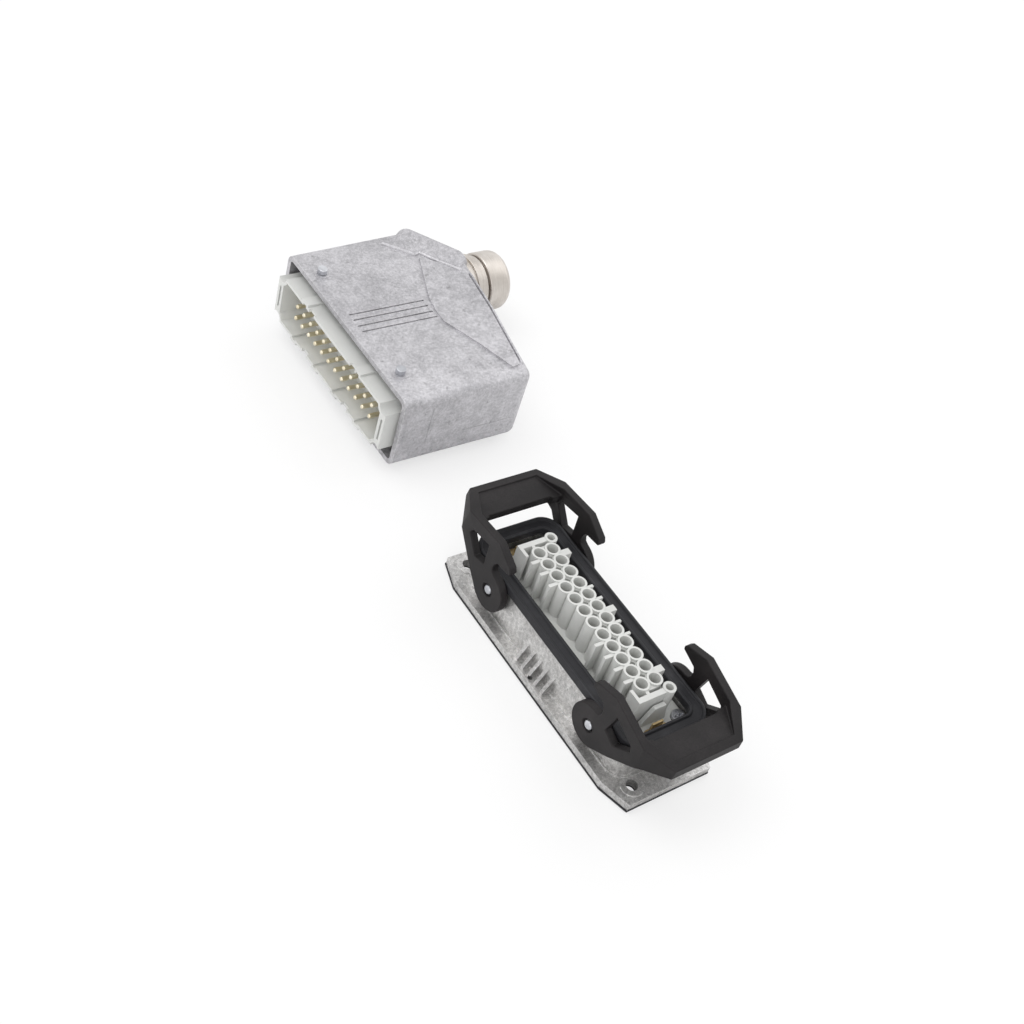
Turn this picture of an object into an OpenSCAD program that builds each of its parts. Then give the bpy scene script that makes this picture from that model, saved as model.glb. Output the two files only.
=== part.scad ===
// Heavy duty rectangular connector, 24 poles and earth: a panel housing with two
// locking levers, and the cable hood that plugs into it, lying beside it.
// Millimetres. The panel lies in the XY plane at z = 0, +Z points out of the panel,
// and the connector's long side runs along Y.

/* [Contacts] */
// Columns of contacts along the connector
columns = 12; // [6:1:12]
// Spacing of the contacts along a row
pitch = 7.0; // [6.6:0.1:7.2]
// Spacing of the two rows
row_gap = 7.2; // [7.0:0.1:7.6]
// Offset of the contact field towards -Y
field_shift = 0.7; // [0:0.1:1.5]
// Diameter of a contact pin
pin_d = 2.5; // [1.6:0.1:2.8]
// Bore that takes a socket contact
socket_bore_d = 5.4; // [4.4:0.1:5.6]

/* [Inserts] */
// Room beyond the last contacts at each end of an insert
end_room = 17; // [16.5:0.1:18]
// Width of an insert's mounting flange
insert_wid = 34; // [33:0.5:34.5]
// Thickness of an insert's mounting flange
insert_flange_t = 3; // [2.5:0.1:4]
// Distance of a fixing screw's axis from the edges of the insert
screw_edge = 3.5; // [3.2:0.1:4.2]
// Height of the socket block above its mounting flange
socket_block_h = 17; // [12:0.5:20]

/* [Panel housing] */
// Distance of a panel hole from the end of the mounting flange
hole_edge = 7.5; // [6.5:0.1:10]
// Width of the flange's ledge beside the housing's wall
flange_ledge = 6; // [5.8:0.1:8.8]
// Thickness of the mounting flange
flange_t = 3.8; // [3:0.2:5]
// Length of the tapered corners of the flange
corner_len = 14.5; // [8:0.5:16]
// Inward run of the tapered corners of the flange
corner_run = 4.5; // [2:0.5:6]
// Thickness of the gasket under the flange
gasket_t = 1.0; // [0.8:0.1:2]
// Distance of a panel hole beyond the end of the housing's wall
hole_out = 4.5; // [4:0.1:6]
// Distance of a panel hole from the flange's long edge
hole_side = 11.2; // [10:0.1:13]
// Diameter of the panel holes
hole_d = 5.5; // [4.3:0.1:6]
// Gap between the socket insert's ends and the housing's wall
end_gap = 2; // [1.5:0.1:3]
// Gap between the socket insert's sides and the housing's wall
side_gap = 1.2; // [0.8:0.1:1.6]
// Thickness of the housing's wall
wall_t = 3.0; // [2.4:0.1:3.4]
// Corner radius of the housing's wall
wall_r = 8; // [6:0.5:10]
// Height of the rim above the panel
rim_h = 24.6; // [23:0.2:27]
// Height of the rubber seal above the rim
seal_h = 4.2; // [3:0.2:6]

/* [Levers] */
// Distance of a lever's pivot from the end of the housing's wall
pivot_set = 21.3; // [20:0.1:23]
// Height of the pivots above the panel
pivot_h = 20; // [19:0.2:21]
// Gap between a lever's arm and the housing's wall
arm_gap = 1.5; // [1.4:0.1:2]
// Thickness of a lever's arm
arm_t = 3.8; // [3:0.1:3.9]
// Diameter of a pivot pin
pivot_d = 4.6; // [4:0.1:5]
// Radial play of a lever on its pin
pivot_play = 0.06; // [0.02:0.01:0.1]
// Lean of the far lever towards the connector's middle
far_lean = 10; // [0:1:12]
// Lean of the near lever towards the connector's middle
near_lean = 0; // [0:1:12]

/* [Hood] */
// Gap between the pin insert's ends and the hood's wall
hood_end_gap = 1.4; // [1:0.1:2]
// Gap between the pin insert's sides and the hood's wall
hood_side_gap = 1.2; // [1:0.1:1.6]
// Wall thickness of the hood
hood_wall = 2.8; // [2.4:0.1:3.2]
// Depth of the hood from its opening to its back, beside the cable entry
hood_depth = 91; // [88:0.5:96]
// Distance of a locking peg beyond the pivot of its lever, along the connector
peg_lead = 0.4; // [0:0.1:1]
// Distance of the locking pegs from the opening
peg_set = 8; // [7:0.5:10]
// Diameter of a locking peg
peg_d = 5; // [4:0.1:6]
// Height of a locking peg above the hood's face
peg_h = 3.3; // [2.6:0.1:4]
// Distance of the hood's middle from the housing's middle, along X
hood_x = -17.8; // [-30:0.1:10]
// Distance of the hood's middle from the housing's middle, along Y
hood_y = 193.6; // [180:0.1:220]

/* [Cable gland] */
// Distance of the gland's axis from the hood's end
gland_set = 25.5; // [24.5:0.1:26.5]
// Bore that takes the cable
cable_d = 21; // [16:0.5:22]
// Wall of the gland's dome nut over its thread
nut_wall = 2.5; // [2:0.1:3]
// Length of the dome nut
nut_len = 15; // [14:0.5:18]

/* [Hidden] */
$fn = 48;
cast = [0.72, 0.72, 0.74];
cast_dark = [0.62, 0.62, 0.64];
black = [0.13, 0.13, 0.15];
lever_black = [0.24, 0.21, 0.22];
moulded = [0.80, 0.81, 0.79];
zinc = [0.75, 0.76, 0.78];
gold = [0.86, 0.75, 0.48];
nickel = [0.78, 0.74, 0.70];

field_len = (columns - 1) * pitch;
insert_len = field_len + 2 * end_room;
screw_span = insert_len - 2 * screw_edge;
screw_gap = insert_wid - 2 * screw_edge;
wall_len = insert_len + 2 * (end_gap + wall_t);
wall_wid = insert_wid + 2 * (side_gap + wall_t);
hole_span = wall_len + 2 * hole_out;
flange_len = hole_span + 2 * hole_edge;
flange_wid = wall_wid + 2 * flange_ledge;
hole_gap = flange_wid - 2 * hole_side;
pivot_span = wall_len - 2 * pivot_set;
lever_wid = wall_wid + 2 * (arm_gap + arm_t);
face_edge = 0.5;                         // the hood's plain faces lie this far inside its thickness
hood_len = insert_len + 2 * (hood_end_gap + hood_wall);
hood_t = insert_wid + 2 * (hood_side_gap + hood_wall + face_edge);
hood_end = hood_len / 2;
peg_span = pivot_span + 2 * peg_lead;
gland_off = hood_end - gland_set;
seal_out_len = wall_len + 4;
seal_out_wid = wall_wid + 2.2;
seal_wid = 6.8;
flange_top = gasket_t + flange_t;
cavity_wid = wall_wid - 2 * wall_t;
cavity_len = wall_len - 2 * wall_t;
tube_r = max(pitch, row_gap) / 2 + 0.05;
socket_seat = rim_h - 7.6;               // z of the seat under the socket insert's flange
socket_plateau = socket_seat + insert_flange_t;
socket_top = socket_plateau + socket_block_h;
lever_in = lever_wid / 2 - arm_t;        // inner face of a lever's arm
boss_r = 10.5;
hood_z = hood_t / 2 + peg_h - face_edge;
hood_half = hood_t / 2 - face_edge;            // half thickness of the plain faces
panel_rise = 0.9;
entry_gasket_t = 1.2;
neck_out = 5;
adapter_end = hood_depth + neck_out;            // x of the adapter's round end
seal_r = cable_d / 2 + 1.9;
spigot_bore = cable_d + 1;
spigot_r = seal_r + 1.4;                 // gland body: spigot, collar and flange ring
collar_r = spigot_r + 1.4;
ring_r = collar_r + 1.4;
ring_t = 3;
hex_end = 7;
spigot_len = 9;
claw_len = 3.5;
nut_gap = 0.8;
entry_r = 5;
plate_r = 6;
adapter_plate_t = 2.5;
screw_reach = 6;
neck_start = hood_depth - 21;
edge_steps = 6;
peg_foot = 0.4;
thread_play = 0.06;
collar_half = hood_half + peg_h;
shroud_front = -6.5;                     // x of the pin insert's front and flange, in the hood
insert_back = 14;
boss_x = insert_back + insert_flange_t;
pin_tip = -4.8;
boss_len = 10;
boss_wide = 5;
screw_d = 3;
screw_core = 3.4;
screw_pocket = 3.7;
shroud_wid = 27.2;
shroud_len = insert_len - 1.5;
shroud_t = 1.6;
end_block = 5;                           // thickness of the shroud's end blocks
slot_len = 13;
slot_wid = 1.4;
notch_y = 21;                            // notches in the shroud's front edge
notch_wid = 5;
notch_deep = 1.5;
key_y = [[28, -26], [33, 10, -10, -33]];   // keyways of the two long walls
key_wid = 6;
key_step = 1.3;
end_wall_t = 2.6;
loop_r = 3;
contact_drop = 16;                       // the contacts end this far below the block's top, less their foot
key_t = 1.9;
pin_len = 30;
terminal_t = 1.4;
terminal_d = 4.2;
terminal_in = 4;                         // terminals lie this far inside the insert's sides
terminal_z = 9;
earth_len = 12;
earth_wid = 3;
earth_t = 1.2;
earth_tab = [6, 1.1, 5];
head_h = 2.2;
head_d = 6.4;
key_profile = [[-7.5, 0], [8, 0], [4.5, 11], [-1.7, 11]];
end_set = 5.2;                           // end walls stand this far beyond the last contacts
rib_reach = 6.8;
rib_short = 5.4;
lug_reach = 7.4;
terminal_wid = insert_wid - 8;
terminal_len = screw_span - 14;
groove_y = [6.3, 2, -2.7, -7];
groove_from = 5.5;
groove_to = hood_depth - 42;

// ---- shared shapes -------------------------------------------------------

// Rectangle with round corners, centred on the origin
module round_rect(len_x, len_y, r) {
    square([len_x, len_y - 2 * r], center = true);
    square([len_x - 2 * r, len_y], center = true);
    for (sx = [-1, 1], sy = [-1, 1])
        translate([sx * (len_x / 2 - r), sy * (len_y / 2 - r)]) circle(r);
}

// Children repeated at every contact of the field
module each_contact(cols = columns) {
    for (i = [0 : cols - 1], side = [-1, 1])
        translate([side * row_gap / 2, (i - (cols - 1) / 2) * pitch - field_shift, 0])
            children();
}

// Children repeated at the four fixing screws of an insert
module each_screw() {
    for (sx = [-1, 1], sy = [-1, 1])
        translate([sx * screw_gap / 2, sy * screw_span / 2, 0]) children();
}

// Turns a profile drawn as (outward, up) into a slab across X, for the lever at +Y
module across(width) {
    rotate([90, 0, 90]) linear_extrude(height = width, center = true) children();
}

// Places the hood's own frame: x away from the opening, y along it, z through it
module in_hood() {
    translate([hood_x, hood_y, hood_z]) children();
}

// ---- panel housing -------------------------------------------------------

module flange_outline(grow = 0) {
    hx = flange_wid / 2 + grow;
    hy = flange_len / 2 + grow;
    polygon([
        [hx, hy - corner_len], [hx - corner_run, hy], [corner_run - hx, hy],
        [-hx, hy - corner_len], [-hx, corner_len - hy], [corner_run - hx, -hy],
        [hx - corner_run, -hy], [hx, corner_len - hy]
    ]);
}

module panel_holes(z0, height) {
    for (sx = [-1, 1], sy = [-1, 1])
        translate([sx * hole_gap / 2, sy * hole_span / 2, z0])
            cylinder(h = height, d = hole_d);
}

gusset_count = 5;
gusset_step = 5;
gusset_t = 1.6;
gusset_rise = 11;
pad_ring = 2.6;                          // raised ring round each panel hole
notch_d = 2.2;                           // centring notches in the flange's long edges

module gusset(side) {
    root = wall_wid / 2 - 0.5;
    toe = flange_wid / 2 - 1.6;
    translate([0, gusset_t / 2, 0]) rotate([90, 0, 0]) linear_extrude(height = gusset_t)
        polygon([[side * root, flange_top - 0.5], [side * toe, flange_top - 0.5],
                 [side * toe, flange_top + 0.8], [side * root, flange_top + gusset_rise]]);
}

module base_housing() {
    color(cast) difference() {
        union() {
            translate([0, 0, gasket_t]) linear_extrude(height = flange_t) flange_outline();
            translate([0, 0, gasket_t])
                linear_extrude(height = rim_h - gasket_t) round_rect(wall_wid, wall_len, wall_r);
            translate([0, 0, flange_top - 0.1])
                linear_extrude(height = 0.9) round_rect(wall_wid + 2, wall_len + 2, wall_r + 1);
            for (side = [-1, 1], i = [0 : gusset_count - 1])
                translate([0, (i - (gusset_count - 1) / 2) * gusset_step, 0]) gusset(side);
            for (sx = [-1, 1], sy = [-1, 1])
                translate([sx * hole_gap / 2, sy * hole_span / 2, gasket_t])
                    cylinder(h = flange_t + 0.5, r = hole_d / 2 + pad_ring);
        }
        translate([0, 0, -1]) linear_extrude(height = rim_h + 2)
            round_rect(cavity_wid, cavity_len, wall_r - wall_t);
        panel_holes(0, flange_top + 2);
        for (side = [-1, 1])
            translate([side * (flange_wid / 2 - 1.9), -1, 0])
                cylinder(h = flange_top + 1, d = notch_d);
    }
    color(cast) difference() {
        for (sx = [-1, 1], sy = [-1, 1])
            intersection() {
                translate([sx * screw_gap / 2, sy * screw_span / 2, socket_seat - boss_len])
                    cylinder(h = boss_len, r = boss_wide);
                translate([-cavity_wid / 2, -cavity_len / 2, 0])
                    cube([cavity_wid, cavity_len, rim_h]);
            }
        each_screw() translate([0, 0, socket_seat - boss_len + 1])
            cylinder(h = boss_len, d = screw_core);
    }
}

module flange_gasket() {
    color(black) difference() {
        linear_extrude(height = gasket_t) flange_outline(0.3);
        translate([0, 0, -1]) linear_extrude(height = gasket_t + 2)
            round_rect(cavity_wid, cavity_len, wall_r - wall_t);
        panel_holes(-1, gasket_t + 2);
    }
}

module rim_seal() {
    color(black) translate([0, 0, rim_h]) difference() {
        linear_extrude(height = seal_h) round_rect(seal_out_wid, seal_out_len, wall_r + 1);
        translate([0, 0, -1]) linear_extrude(height = seal_h + 2)
            round_rect(seal_out_wid - 2 * seal_wid, seal_out_len - 2 * seal_wid, wall_r - 4);
        translate([0, 0, seal_h - 1]) linear_extrude(height = 2) difference() {
            round_rect(seal_out_wid - 3, seal_out_len - 3, wall_r - 0.5);
            round_rect(seal_out_wid - 2 * seal_wid + 3, seal_out_len - 2 * seal_wid + 3, wall_r - 2.5);
        }
    }
}

// ---- locking levers ------------------------------------------------------

module each_pivot() {
    for (sx = [-1, 1], sy = [-1, 1])
        translate([sx * wall_wid / 2, sy * pivot_span / 2, pivot_h])
            rotate([0, sx * 90, 0]) children();
}

module pivot_pins() {
    color(zinc) each_pivot() {
        cylinder(h = lever_wid / 2 - wall_wid / 2 - 0.6, d = pivot_d);
        translate([0, 0, lever_wid / 2 - wall_wid / 2 - 0.6])
            cylinder(h = 0.7, d1 = pivot_d, d2 = pivot_d - 1.4);
    }
}

bar_in = 25.7;
bar_out = 41.5;
bar_half = lever_wid / 2 - 8;
bar_root = 19;
bar_top = 18.3;
bar_t = 5.5;
corner_in = 29;                          // where the bow's corners begin
corner_ease = 0.6;
arm_outline = [
    [-6.6, 8.1], [-3.2, 9.6], [2.6, 11.0], [3.6, 12.6], [3.6, 15.6], [2.6, 17.9],
    [-5.6, 20.6], [-5.9, 22.2], [-4.4, 24.2], [6.8, 27.8], [28.4, 21.6],
    [bar_out, bar_top], [bar_out, bar_top - bar_t], [30.2, 9.4], [15.4, -2.2],
    [6.5, -8.2], [0, -6]
];
arm_window = [[11.2, 20.0], [22.6, 15.6], [23.6, 12.4], [15.2, 5.6], [8.6, 8.4]];

// Side view of an arm: outward and up from the pivot, with the lever locked
module arm_profile() {
    difference() {
        union() {
            circle(boss_r);
            polygon(arm_outline);
        }
        polygon(arm_window);
    }
}

// Plan of a lever's bow: arms joined by a crossbar with slanting corners
module bow_plan(half, reach) {
    inset = lever_wid / 2 - half;
    tip = bar_half - inset * corner_ease;
    polygon([
        [-half, -boss_r - 1], [half, -boss_r - 1], [half, corner_in - inset],
        [tip, reach], [-tip, reach], [-half, corner_in - inset]
    ]);
}

// A lever in its own frame: pivot at the origin, handle towards +Y, locked upright
module lever() {
    difference() {
        union() {
            intersection() {
                translate([0, 0, -15]) linear_extrude(height = 50) difference() {
                    bow_plan(lever_wid / 2, bar_out);
                    translate([0, -0.01]) bow_plan(lever_in, bar_out - arm_t);
                }
                across(lever_wid + 2) arm_profile();
            }
            intersection() {
                translate([0, 0, bar_top - bar_t]) linear_extrude(height = bar_t) difference() {
                    bow_plan(lever_wid / 2, bar_out);
                    polygon([[-lever_in, -2 * boss_r], [lever_in, -2 * boss_r],
                             [lever_in, bar_root], [bar_half - 1.3, bar_in],
                             [1.3 - bar_half, bar_in], [-lever_in, bar_root]]);
                }
                across(lever_wid + 2)
                    polygon([[bar_in - 1.2, 0], [bar_in - 1.2, 40], [28.4, 21.6],
                             [bar_out, bar_top], [bar_out, 0]]);
            }
        }
        translate([-lever_wid, 0, 0]) rotate([0, 90, 0])
            cylinder(h = 2 * lever_wid, r = pivot_d / 2 + pivot_play);
        for (side = [-1, 1])
            translate([side * (lever_wid / 2 - 0.4), 0, 0]) rotate([0, 90, 0])
                cylinder(h = 1.6, d = pivot_d + 1.8, center = true);
    }
}

module lever_far() {
    color(lever_black) translate([0, pivot_span / 2, pivot_h])
        rotate([far_lean, 0, 0]) lever();
}

module lever_near() {
    color(lever_black) translate([0, -pivot_span / 2, pivot_h])
        rotate([-near_lean, 0, 0]) mirror([0, 1, 0]) lever();
}

// ---- socket insert -------------------------------------------------------

// A rib down one long side of the block, at a boundary between two contacts
module side_rib(side, boundary, reach, thick) {
    translate([side > 0 ? row_gap / 2 : -row_gap / 2 - reach,
               boundary * pitch - field_shift - thick / 2, socket_plateau - 0.1])
        cube([reach, thick, socket_block_h - 0.4]);
}

// Ring and wall that close an end of the block
module block_end(end) {
    wall_y = field_len / 2 + end_set;
    translate([0, -field_shift, socket_plateau - 0.1]) mirror([0, end < 0 ? 1 : 0, 0]) {
        translate([-10.4, wall_y, 0]) cube([15.4, end_wall_t, socket_block_h - 0.6]);
        translate([-10.4, wall_y - 4.6, 0]) cube([1.6, 5, socket_block_h - 0.6]);
        translate([-row_gap / 2 - 0.8, field_len / 2, 0]) cube([1.6, 6, socket_block_h - 0.6]);
        difference() {
            translate([7.2, wall_y + 1, 0]) cylinder(h = socket_block_h - 0.3, r = loop_r);
            translate([7.2, wall_y + 1, -1]) cylinder(h = socket_block_h + 2, r = loop_r - 1.2);
        }
    }
}

// Guide key outside an end wall, wide at its foot
module guide_key(end) {
    foot = field_len / 2 + end_set + end_wall_t + 0.7;
    translate([0, end > 0 ? foot + key_t - field_shift : -foot - field_shift, socket_plateau - 0.1])
        rotate([90, 0, 0]) linear_extrude(height = key_t)
            polygon(key_profile);
}

module socket_insert() {
    block_half = field_len / 2 + tube_r;
    color(moulded) difference() {
        union() {
            translate([0, 0, socket_seat]) linear_extrude(height = insert_flange_t)
                round_rect(insert_wid, insert_len, 3);
            translate([0, 0, 2]) linear_extrude(height = socket_seat - 1.9)
                square([terminal_wid, terminal_len], center = true);
            translate([0, 0, socket_plateau - 0.1]) {
                each_contact() cylinder(h = socket_block_h + 0.1, r = tube_r);
                translate([-row_gap / 2, -block_half - field_shift, 0])
                    cube([row_gap, 2 * block_half, socket_block_h - 1.2]);
            }
            for (end = [-1, 1]) {
                block_end(end);
                guide_key(end);
                for (b = [3 : 5]) side_rib(-1, end * b, rib_reach, 1.6);
                for (b = [1 : 2]) side_rib(1, end * b, rib_short, 1.3);
                side_rib(1, end * 5, lug_reach, 3.2);
            }
            side_rib(-1, -2, rib_reach, 1.6);
            side_rib(1, 0, lug_reach, 3.2);
        }
        each_contact() translate([0, 0, 4]) cylinder(h = socket_top, d = socket_bore_d);
        for (i = [0 : columns - 2])
            translate([0, (i - (columns - 2) / 2) * pitch - field_shift, socket_plateau + 4])
                rotate(45) translate([-1.1, -1.1, 0]) cube([2.2, 2.2, socket_block_h]);
        each_screw() translate([0, 0, socket_seat - 1]) cylinder(h = 20, d = screw_d + 0.6);
        each_screw() translate([0, 0, socket_plateau - 0.6]) cylinder(h = 20, d = 7);
    }
}

module socket_contacts() {
    color(zinc) each_contact() translate([0, 0, 4]) difference() {
        cylinder(h = socket_top - contact_drop, d = socket_bore_d - 0.2);
        translate([0, 0, -1]) cylinder(h = socket_top, d = pin_d + 0.1);
    }
}

// Head of a terminal screw with its slot
module terminal() {
    difference() {
        cylinder(h = terminal_t, d = terminal_d);
        translate([-terminal_d, -0.4, terminal_t - 0.6])
            cube([2 * terminal_d, 0.8, terminal_t]);
    }
}

module socket_terminals() {
    color(zinc) for (side = [-1, 1], i = [0 : columns - 1])
        translate([side * (insert_wid / 2 - terminal_in),
                   (i - (columns - 1) / 2) * pitch - field_shift, terminal_z])
            rotate([0, side * 90, 0]) terminal();
}

module earth_plate() {
    linear_extrude(height = earth_t) round_rect(earth_len, earth_wid, 1);
    translate([-earth_tab[0] / 2, -earth_wid / 2, 0]) cube(earth_tab);
}

module socket_earth_plates() {
    color(gold) for (end = [-1, 1])
        translate([0, end * (insert_len / 2 - 2), socket_plateau])
            rotate(end > 0 ? 0 : 180) earth_plate();
}

// Cheese-head fixing screw with a cross slot, head up, seat at z = 0
module fixing_screw() {
    difference() {
        union() {
            cylinder(h = head_h, d = head_d);
            translate([0, 0, -insert_flange_t - screw_reach])
                cylinder(h = insert_flange_t + screw_reach + 0.1, d = screw_d);
        }
        for (turn = [0, 90])
            rotate(turn) translate([-2.2, -0.4, head_h - 1]) cube([4.4, 0.8, head_h]);
    }
}

module socket_fixing_screws() {
    color(zinc) each_screw() translate([0, 0, socket_plateau - 0.6]) fixing_screw();
}

// ---- hood ----------------------------------------------------------------

// Corners of the hood's large face in its own frame, from the opening round to the back
neck_in = [hood_depth - 40, hood_end - 2.7];
face_far = [hood_depth - 24, hood_end + 3.3];
face_near = [hood_depth, hood_end - 29.7];
back_mid = [hood_depth - 6.5, -8];
back_near = [hood_depth - 15.5, -hood_end];
back_r = 6;
entry_mid = (face_far + face_near) / 2;
entry_turn = atan2(face_near[0] - face_far[0], face_far[1] - face_near[1]);
entry_len = norm(face_far - face_near);
entry_open = 2 * ring_r - 3.2;
collar_len = 14;
collar_over = 0.6;
// The body's slanting end stops this far behind the collar's face
end_back = 0.5 * [cos(entry_turn), sin(entry_turn)];
// Outline of the plateau on both large faces
plateau = [
    for (p = [[26, 38], [38.8, 6.5], [40.8, -4], [41, -12], [32.6, -32], [25.4, -53], [20.6, -52],
              [11.5, -9], [7, 22]])
        [hood_depth - p[0], p[1]]
];
groove_wid = 1;
groove_deep = 0.7;

// Round corner as a fan of points between two directions
function arc_pts(c, r, a0, a1, n = 6) =
    [for (i = [0 : n]) [c[0] + r * cos(a0 + (a1 - a0) * i / n), c[1] + r * sin(a0 + (a1 - a0) * i / n)]];

module face_outline(inset = 0) {
    half = hood_end - inset;
    polygon(concat(
        [[0, -half]],
        arc_pts(back_near + [-back_r, back_r], back_r - min(inset, 4), -90, -14),
        [[back_mid[0] - inset, back_mid[1]], face_near - end_back - [inset, inset / 2],
         face_far - end_back - [inset / 2, inset], [neck_in[0] + 6, hood_end + 2.3 - inset],
         [neck_in[0], neck_in[1] - inset], [0, half]]
    ));
}

// Solid within the hood's outline with its long edges rounded in steps
module hood_solid(inset, half, start) {
    edge = 5 - inset;
    hull() for (i = [0 : edge_steps]) {
        a = i * 90 / edge_steps;
        translate([0, 0, -(half - edge * (1 - sin(a)))])
            linear_extrude(height = 2 * (half - edge * (1 - sin(a))))
                intersection() {
                    face_outline(inset + edge * (1 - cos(a)));
                    translate([start, -hood_len]) square([2 * hood_len, 2 * hood_len]);
                }
    }
}

module hood_shell() {
    in_hood() color(cast_dark) difference() {
        union() {
            hood_body();
            for (flip = [0, 1]) mirror([0, 0, flip]) {
                translate([0, 0, hood_half - 2]) linear_extrude(height = 2 + panel_rise)
                    polygon(plateau);
            }
            hood_collar();
            for (sy = [-1, 1], flip = [0, 1]) mirror([0, 0, flip])
                translate([peg_set, sy * peg_span / 2, hood_half - 1])
                    cylinder(h = 1 + peg_foot, r = peg_d / 2 + 1.5);
        }
        for (flip = [0, 1], y = groove_y) mirror([0, 0, flip])
            translate([groove_from, y - groove_wid / 2, hood_half - groove_deep])
                cube([groove_to - groove_from, groove_wid, 3]);
        hood_cavity();
        on_entry(false) translate([-20, 0, 0]) rotate([0, 90, 0])
            linear_extrude(height = 30) round_rect(entry_open, entry_open, entry_r);
    }
    in_hood() color(cast_dark) difference() {
        intersection() {
            rotate([0, 90, 0]) each_screw() translate([0, 0, boss_x])
                cylinder(h = boss_len, r = boss_wide);
            hood_body();
        }
        rotate([0, 90, 0]) each_screw() translate([0, 0, boss_x - 1])
            cylinder(h = boss_len, d = screw_core);
    }
}

// Flared collar round the slanting cable entry
module hood_collar() {
    on_entry(false) hull() {
        translate([-2, 0, 0]) rotate([0, 90, 0])
            linear_extrude(height = 2)
                round_rect(2 * collar_half, entry_len + collar_over, 7);
        translate([-collar_len, 0, 0]) rotate([0, 90, 0])
            linear_extrude(height = 0.5) round_rect(2 * hood_half - 1, entry_len + 2, 5);
    }
}

module hood_body() {
    hood_solid(0, hood_half, 0);
}

module hood_cavity() {
    translate([-0.01, 0, 0]) hood_solid(hood_wall, hood_half - hood_wall, 0);
}

module locking_pegs() {
    in_hood() color(zinc) for (sy = [-1, 1], sz = [-1, 1])
        translate([peg_set, sy * peg_span / 2, sz * (hood_half + peg_foot)])
            mirror([0, 0, sz < 0 ? 1 : 0]) cylinder(h = peg_h - peg_foot, d = peg_d);
}

// Shroud's outline: keyed long walls, stepped in at its corners round the screw heads
module shroud_outline(inset, end_inset) {
    difference() {
        union() {
            round_rect(shroud_wid - 2 * inset, shroud_len - 2 * end_inset, 1);
            for (side = [-1, 1], y = key_y[side > 0 ? 1 : 0])
                translate([side * (shroud_wid / 2 - inset + key_step / 2 - 0.5), y])
                    square([key_step + 1, key_wid - 2 * inset], center = true);
        }
        each_screw() circle(screw_pocket + (inset > 0 ? shroud_t : 0));
    }
}

module pin_insert() {
    color(moulded) in_hood() rotate([0, 90, 0]) difference() {
        union() {
            translate([0, 0, insert_back]) linear_extrude(height = insert_flange_t)
                round_rect(insert_wid, insert_len, 3);
            translate([0, 0, shroud_front])
                linear_extrude(height = insert_back - shroud_front + 0.1) shroud_outline(0, 0);
            translate([0, 0, boss_x - 0.1]) linear_extrude(height = 13)
                square([terminal_wid, terminal_len], center = true);
        }
        translate([0, 0, shroud_front - 1])
            linear_extrude(height = insert_back - 4 - shroud_front) shroud_outline(shroud_t, end_block);
        each_contact() cylinder(h = pin_len - 2, d = pin_d + 0.2);
        each_screw() translate([0, 0, insert_back - 1])
            cylinder(h = insert_flange_t + 2, d = screw_d + 0.6);
        for (end = [-1, 1]) {
            translate([-slot_len / 2, end * (shroud_len - end_block) / 2 - slot_wid / 2, shroud_front - 1])
                cube([slot_len, slot_wid, 8]);
            for (side = [-1, 1])
                translate([side * (shroud_wid / 2 + 0.5) - 2.75, end * notch_y - notch_wid / 2,
                           shroud_front - 1])
                    cube([5.5, notch_wid, 1 + notch_deep]);
        }
    }
}

module contact_pins() {
    color(gold) in_hood() rotate([0, 90, 0]) each_contact() translate([0, 0, pin_tip + pin_d / 2]) {
        cylinder(h = pin_len, d = pin_d);
        sphere(d = pin_d);
    }
}

module pin_terminals() {
    in_hood() color(zinc) for (side = [-1, 1], i = [0 : columns - 1])
        translate([insert_back + terminal_z, (i - (columns - 1) / 2) * pitch - field_shift,
                   side * (insert_wid / 2 - terminal_in)])
            mirror([0, 0, side < 0 ? 1 : 0]) terminal();
}

module pin_earth_plates() {
    in_hood() color(gold) for (end = [-1, 1])
        translate([insert_back - 5, end * (insert_len / 2 - 9.5), 0]) rotate([0, -90, 0])
            rotate(end > 0 ? 0 : 180) earth_plate();
}

module pin_fixing_screws() {
    in_hood() color(zinc) rotate([0, -90, 0]) each_screw()
        translate([0, 0, -insert_back]) fixing_screw();
}

// ---- cable entry ---------------------------------------------------------

// Places the frame of the slanting entry face: x out of the face, y along it, z through the hood
module on_entry(placed = true) {
    origin = placed ? [hood_x, hood_y, hood_z] : [0, 0, 0];
    translate(origin + [entry_mid[0], entry_mid[1], 0]) rotate(entry_turn) children();
}

module entry_gasket() {
    color(black) on_entry() rotate([0, 90, 0]) linear_extrude(height = entry_gasket_t)
        difference() {
            round_rect(2 * collar_half - 1.5, entry_len - 1.5, plate_r);
            round_rect(entry_open, entry_open, entry_r);
        }
}

// Children cut off behind a plane parallel to the entry, x0 in front of it
module beyond_entry(x0) {
    difference() {
        children();
        on_entry() translate([x0 - 3 * entry_len, -2 * entry_len, -hood_t])
            cube([3 * entry_len, 4 * entry_len, 2 * hood_t]);
    }
}

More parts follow.
